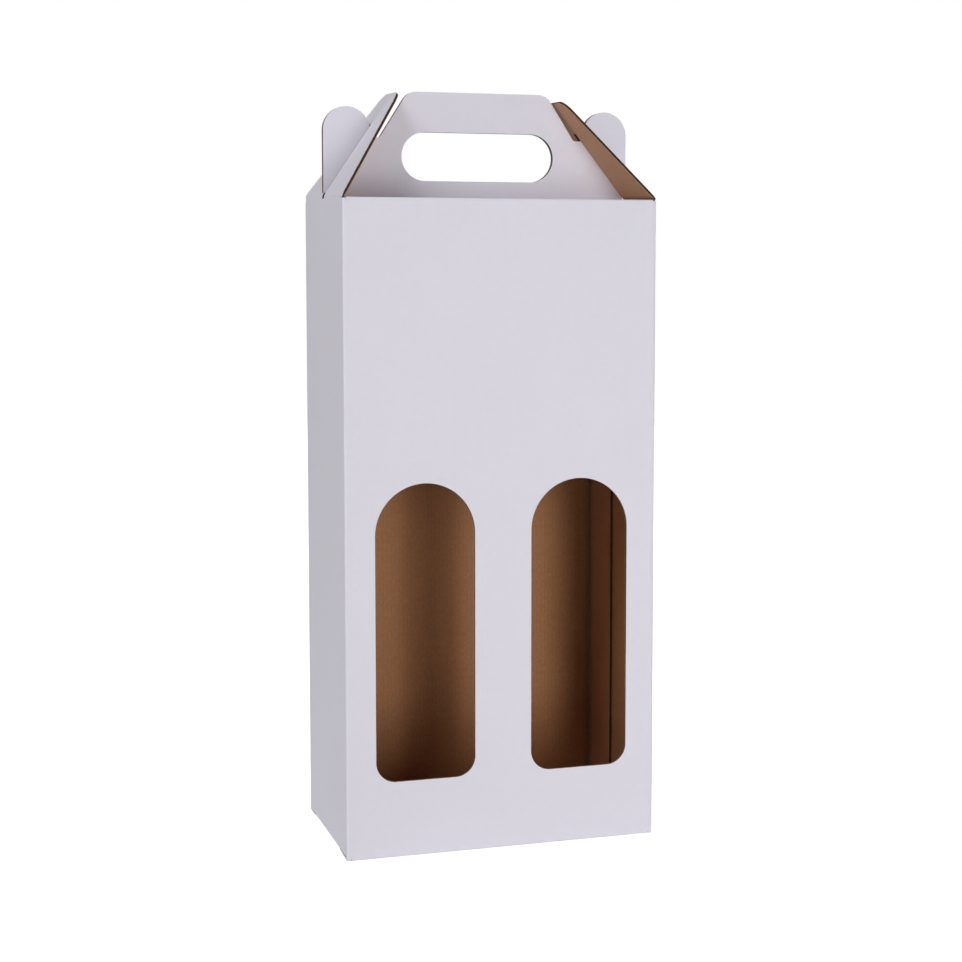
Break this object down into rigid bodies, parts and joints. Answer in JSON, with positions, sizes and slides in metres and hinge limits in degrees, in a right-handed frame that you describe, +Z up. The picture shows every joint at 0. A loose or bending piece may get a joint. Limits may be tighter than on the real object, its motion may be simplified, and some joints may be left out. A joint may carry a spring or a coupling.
{
  "type": "wine bottle box",
  "caption": "Tall carrier box of folded corrugated board for wine bottles, with arched front windows, slit side flaps that hook over ears, and a handle with a hand hole.",
  "frame": {"origin": "on the floor, in the middle of the box's outline", "axes": "+Z up, +X to the right and +Y to the back, with the windows in the front panel at -Y"},
  "size_m": [0.18, 0.1, 0.424],
  "materials": {
    "white_board": "matte"
  },
  "bodies": {
    "carton": {"carton": "white_board"},
    "left_flap": {"left_flap": "white_board"},
    "right_flap": {"right_flap": "white_board"}
  },
  "joints": [
    {"name": "left_flap_crease", "type": "hinge", "parent": "carton", "child": "left_flap", "pos_m": [-0.08925, 0, 0.3652], "axis": [0, -1, 0], "range_deg": [0, 124.5]},
    {"name": "right_flap_crease", "type": "hinge", "parent": "carton", "child": "right_flap", "pos_m": [0.08925, 0, 0.3652], "axis": [0, 1, 0], "range_deg": [0, 128.5]}
  ]
}
